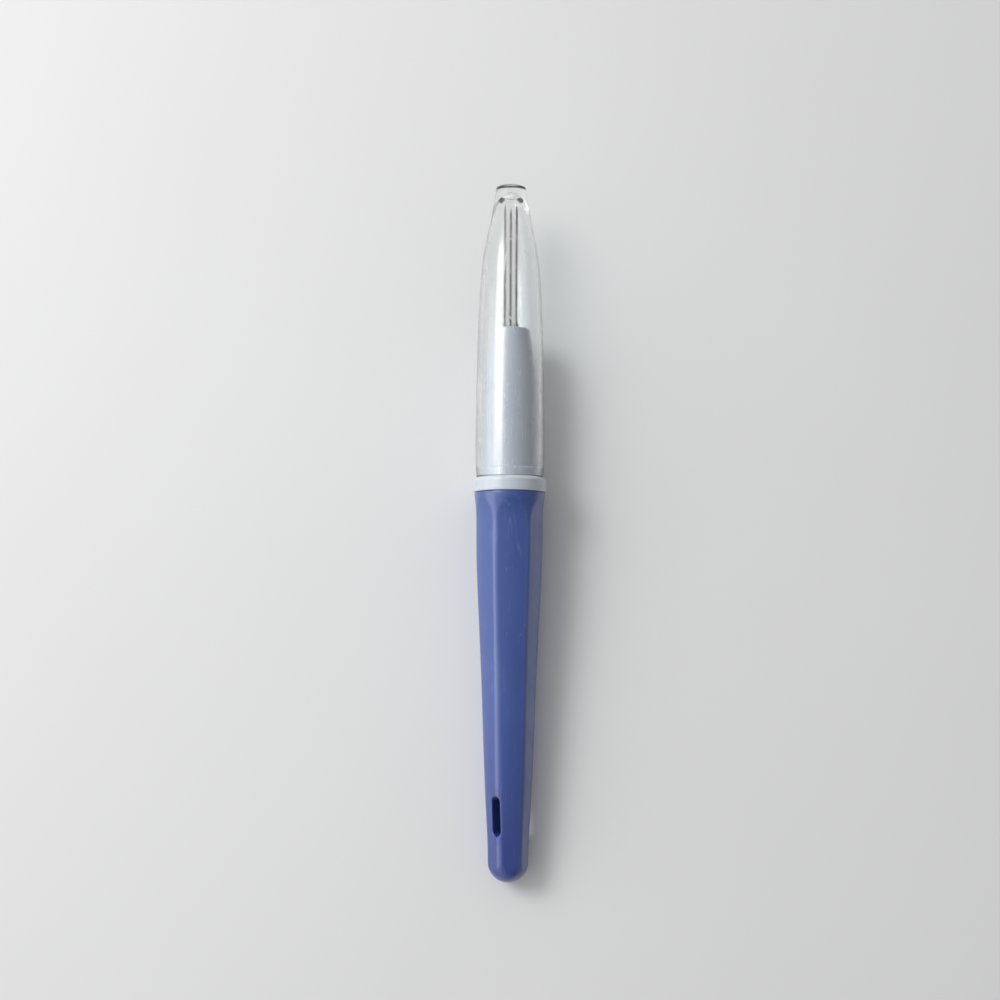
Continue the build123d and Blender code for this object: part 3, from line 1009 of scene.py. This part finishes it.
capLook = {
    "colour": (0.955, 0.965, 0.965),
    "roughness": (0.1, 0.2),
    "ior": 1.5,
    "shadowColour": (0.93, 0.95, 0.955),
    "mould": {"Flow Scale": 90.0, "Peel Scale": 900.0},
    "hairlines": {"Turn": (0.0, 0.3, 0.15), "Scale": 350.0, "Width": 0.008, "Cover": 0.52},
    "scratchRoughness": 0.25,
    "flowRelief": 3.0,
    "bump": {"Strength": 0.25, "Distance": 0.00003},
}


def clearPlastic(look):
    # clear moulded plastic: gloss broken by faint haze and hairlines, and lamps pass through it
    material, tree, surface = newMaterial("clearCap")
    place = toolCoordinates(tree)
    moulded = useGroup(tree, mouldedGroup, {"Vector": place, **look["mould"]})
    scratches = useGroup(tree, scratchGroup, {"Vector": place, **look["hairlines"]})["Scratches"]
    rough = rangeNode(tree, moulded["Rubbed"], 0.0, 1.0, *look["roughness"])
    rough = mathNode(tree, "MULTIPLY_ADD", scratches, look["scratchRoughness"], rough)
    tree.links.new(rough, surface.inputs["Roughness"])
    relief = mathNode(tree, "MULTIPLY", moulded["Flow"], look["flowRelief"])
    relief = mathNode(tree, "SUBTRACT", relief, scratches)
    bump = addNode(tree, "ShaderNodeBump", {"Height": relief, **look["bump"]})
    tree.links.new(bump.outputs["Normal"], surface.inputs["Normal"])
    surface.inputs["Base Color"].default_value = (*look["colour"], 1.0)
    surface.inputs["IOR"].default_value = look["ior"]
    surface.inputs["Transmission Weight"].default_value = 1.0
    light = addNode(tree, "ShaderNodeLightPath").outputs
    lit = mathNode(tree, "MAXIMUM", light["Is Shadow Ray"], light["Is Diffuse Ray"])
    passing = addNode(tree, "ShaderNodeBsdfTransparent", {"Color": (*look["shadowColour"], 1.0)})
    shaders = {0: lit, 1: surface.outputs["BSDF"], 2: passing.outputs["BSDF"]}
    mix = addNode(tree, "ShaderNodeMixShader", shaders)
    tree.links.new(mix.outputs[0], tree.nodes["Material Output"].inputs["Surface"])
    return material


def buildCap():
    shape = capShape
    mouth, length, top = shape["mouth"], shape["length"], shape["mouth"] + shape["length"]
    body, wide, lip = shape["bodyRadius"], shape["mouthRadius"], shape["lip"]
    hollow = body - shape["wall"]
    depth = length - shape["tipWall"]
    tipRadius, edge, tipLean = shape["tipRadius"], shape["tipEdge"], shape["tipLeanShare"]
    outKnots = [mouth + length * up for up, _ in shape["outsideShares"]] + [top - edge]
    outValues = [body * out for _, out in shape["outsideShares"]] + [tipRadius]
    outHeights = np.linspace(outKnots[0], top - edge, 170)
    outRadii = smoothCurve(outKnots, outValues, outHeights, 0.0, -tipLean)
    outside = np.stack([outRadii, outHeights], 1)

    # the hollow's end is round, so its outline runs on the root of the height that is left
    inKnots = [mouth + depth * up for up, _ in shape["insideShares"]] + [mouth + depth]
    inValues = [hollow * out for _, out in shape["insideShares"]] + [0.0]
    rootKnots = -np.sqrt(inKnots[-1] - np.array(inKnots))
    roots = np.linspace(rootKnots[0], 0, 150)
    inRadii = np.clip(smoothCurve(rootKnots, inValues, roots, 0.0), 0, None)
    inRadii[-1] = 0.0
    inside = np.stack([inRadii, inKnots[-1] - roots**2], 1)
    cornerTurn = math.atan(tipLean)
    tipCentre = (tipRadius - edge * math.cos(cornerTurn), top - edge)
    profile = outline(
        straight((0, top), (tipCentre[0], top), 10),
        cornerArc(tipCentre, edge, 90, math.degrees(cornerTurn), 10),
        outside[::-1],
        straight(outside[0], (wide, mouth + lip), 8),
        cornerArc((wide - lip, mouth + lip), lip, 0, -90),
        straight((wide - lip, mouth), (hollow, mouth), 4),
        straight((hollow, mouth), inside[0], 16),
        inside,
    )
    wear = np.zeros(len(profile))
    place = ("cap", "cap", "clear_cap")
    turnedPiece("clear_cap", profile, shape["columns"], wear, *place, clearPlastic(capLook))


# Needle insert, kept from the frame with a finish of its own

coreLook = {
    **noseLook,
    "colour": (0.42, 0.46, 0.5),
    "flowColour": (0.46, 0.5, 0.53),
    "roughness": (0.4, 0.5),
    "scratchShare": 0.05,
}


def finishCore():
    material = mouldedMaterial("corePlastic", coreLook)
    core = frame["nodes"]["needle_core"]
    if not core.data.materials:
        core.data.materials.append(material)
    for slot in core.material_slots:
        slot.material = material
    print("needle_core: finish set")


# Table, lamps and camera

floorLook = {
    "size": 9.0,
    "colour": (0.8, 0.8, 0.79),
    "lightColour": (0.83, 0.83, 0.825),
    "cloudScale": 14.0,
    "roughness": 0.75,
    "gloss": 0.15,
}


def buildFloor():
    # a pale matt table top, one flat sheet that reaches past the edge of the views
    half = floorLook["size"] / 2
    corners = [(-half, -half, 0), (half, -half, 0), (half, half, 0), (-half, half, 0)]
    mesh = bpy.data.meshes.new("table_top")
    mesh.from_pydata(corners, [], [(0, 1, 2, 3)])
    table = bpy.data.objects.new("table_top", mesh)
    bpy.context.scene.collection.objects.link(table)
    material, tree, surface = newMaterial("paleTable")
    source = addNode(tree, "ShaderNodeTexCoord")
    cloud = noise(tree, source.outputs["Object"], floorLook["cloudScale"], 3.0)
    tone = mixColour(tree, cloud, floorLook["colour"], floorLook["lightColour"])
    tree.links.new(tone, surface.inputs["Base Color"])
    surface.inputs["Roughness"].default_value = floorLook["roughness"]
    surface.inputs["Specular IOR Level"].default_value = floorLook["gloss"]
    mesh.materials.append(material)


lampAim = (0.0, 0.0, 0.009)  # m
lampSetup = [
    # name, degrees from straight up round the tool (left is negative), place along the tool in
    # m, distance, width and length in m, watts
    ("window_core", -45.0, 0.26, 0.7, 0.16, 0.28, 0.85),
    ("window_middle", -45.0, 0.26, 0.7, 0.27, 0.34, 1.1),
    ("window_rim", -45.0, 0.26, 0.7, 0.4, 0.42, 1.35),
    ("side_lamp", -72.0, -0.05, 0.9, 0.55, 0.8, 1.7),
]


def standing(sideways, upwards, back, place):
    # the matrix of a lamp or camera that looks away from back, with its own right and up
    rows = [[sideways[i], upwards[i], back[i], place[i]] for i in range(3)]
    return Matrix(rows + [[0.0, 0.0, 0.0, 1.0]])


def buildLamps():
    # soft area lamps that stand round the tool and face its middle
    middle = Vector(lampAim)
    for name, turn, forward, distance, width, length, watts in lampSetup:
        data = bpy.data.lights.new(name, "AREA")
        data.shape = "RECTANGLE"
        data.size, data.size_y = width, length
        data.energy = watts
        lamp = bpy.data.objects.new(name, data)
        angle = math.radians(turn)
        away = Vector((distance * math.sin(angle), forward, distance * math.cos(angle)))
        back = away.normalized()
        sideways = Vector((0.0, 1.0, 0.0)).cross(back).normalized()
        lamp.matrix_world = standing(sideways, back.cross(sideways), back, middle + away)
        bpy.context.scene.collection.objects.link(lamp)


worldLook = {
    "brightColour": (0.76, 0.765, 0.77),
    "dimColour": (0.26, 0.26, 0.27),
    "wallBright": (0.93, 0.93, 0.93),  # the room that shows, also in gloss and clear plastic
    "wallDim": (0.26, 0.26, 0.27),
    "turn": -0.45,  # how much of the brightness also falls off towards the handle's end
    "rise": 0.65,  # and how much towards the ceiling
    "fade": (-0.4, 0.9),
}


def buildWorld():
    # a soft room, bright on the window's side and dim on the other
    look = worldLook
    world = bpy.data.worlds.new("softRoom")
    world.use_nodes = True
    tree = world.node_tree
    source = addNode(tree, "ShaderNodeTexCoord").outputs["Generated"]
    side = addNode(tree, "ShaderNodeSeparateXYZ", {"Vector": source}).outputs
    away = mathNode(tree, "MULTIPLY_ADD", side["Y"], look["turn"], side["X"])
    away = mathNode(tree, "MULTIPLY_ADD", side["Z"], look["rise"], away)
    share = rangeNode(tree, away, *look["fade"])
    light = mixColour(tree, share, look["brightColour"], look["dimColour"])
    wall = mixColour(tree, share, look["wallBright"], look["wallDim"])
    path = addNode(tree, "ShaderNodeLightPath").outputs
    shown = mathNode(tree, "MAXIMUM", path["Is Camera Ray"], path["Is Glossy Ray"])
    shown = mathNode(tree, "MAXIMUM", shown, path["Is Transmission Ray"])
    backdrop = tree.nodes["Background"]
    tree.links.new(mixColour(tree, shown, light, wall), backdrop.inputs["Color"])
    backdrop.inputs["Strength"].default_value = 1.0
    bpy.context.scene.world = world


cameraView = {
    "distance": 331.2,  # mm from the tool to the lens
    "frameWidth": 243.2,  # mm across the picture at the tool
    "lean": 4.83,  # degrees that the camera stands off square, towards the handle's end
    "roll": -4.0,  # degrees round the tool, towards -X
    "twist": 0.3,  # degrees that the picture is turned, clockwise
    "aimX": -2.36,
    "aimHeight": -1.75,
    "clip": (0.01, 20.0),  # m
}


def buildCamera():
    # straight above the tool, a little to its left and towards its handle, tip at the top
    view = cameraView
    turn, leanBack = math.radians(view["roll"]), math.radians(view["lean"])
    above = math.cos(turn) * upward + math.sin(turn) * right
    back = math.cos(leanBack) * above - math.sin(leanBack) * along
    top = along - back * float(np.dot(along, back))
    top /= np.linalg.norm(top)
    sideways = np.cross(top, back)
    twist = math.radians(view["twist"])
    top, sideways = (
        math.cos(twist) * top - math.sin(twist) * sideways,
        math.cos(twist) * sideways + math.sin(twist) * top,
    )
    aim = foot + millimetre * (view["aimHeight"] * along + view["aimX"] * right)
    place = aim + millimetre * view["distance"] * back
    data = bpy.data.cameras.new("photo_camera")
    data.lens = data.sensor_width * view["distance"] / view["frameWidth"]
    data.clip_start, data.clip_end = view["clip"]
    camera = bpy.data.objects.new("photo_camera", data)
    camera.matrix_world = standing(sideways, top, back, place)
    bpy.context.scene.collection.objects.link(camera)
    bpy.context.scene.camera = camera


buildCamera()
buildFloor()
buildLamps()
buildWorld()
print("stage ready")
buildHandle()
buildCollar()
buildNose()
steel = needleSteel(needleLook)
for number, needleAngle in enumerate(needleShape["angles"], 1):
    buildNeedle(number, needleAngle, steel)
buildCap()
finishCore()
bpy.context.scene.view_settings.view_transform = "Standard"
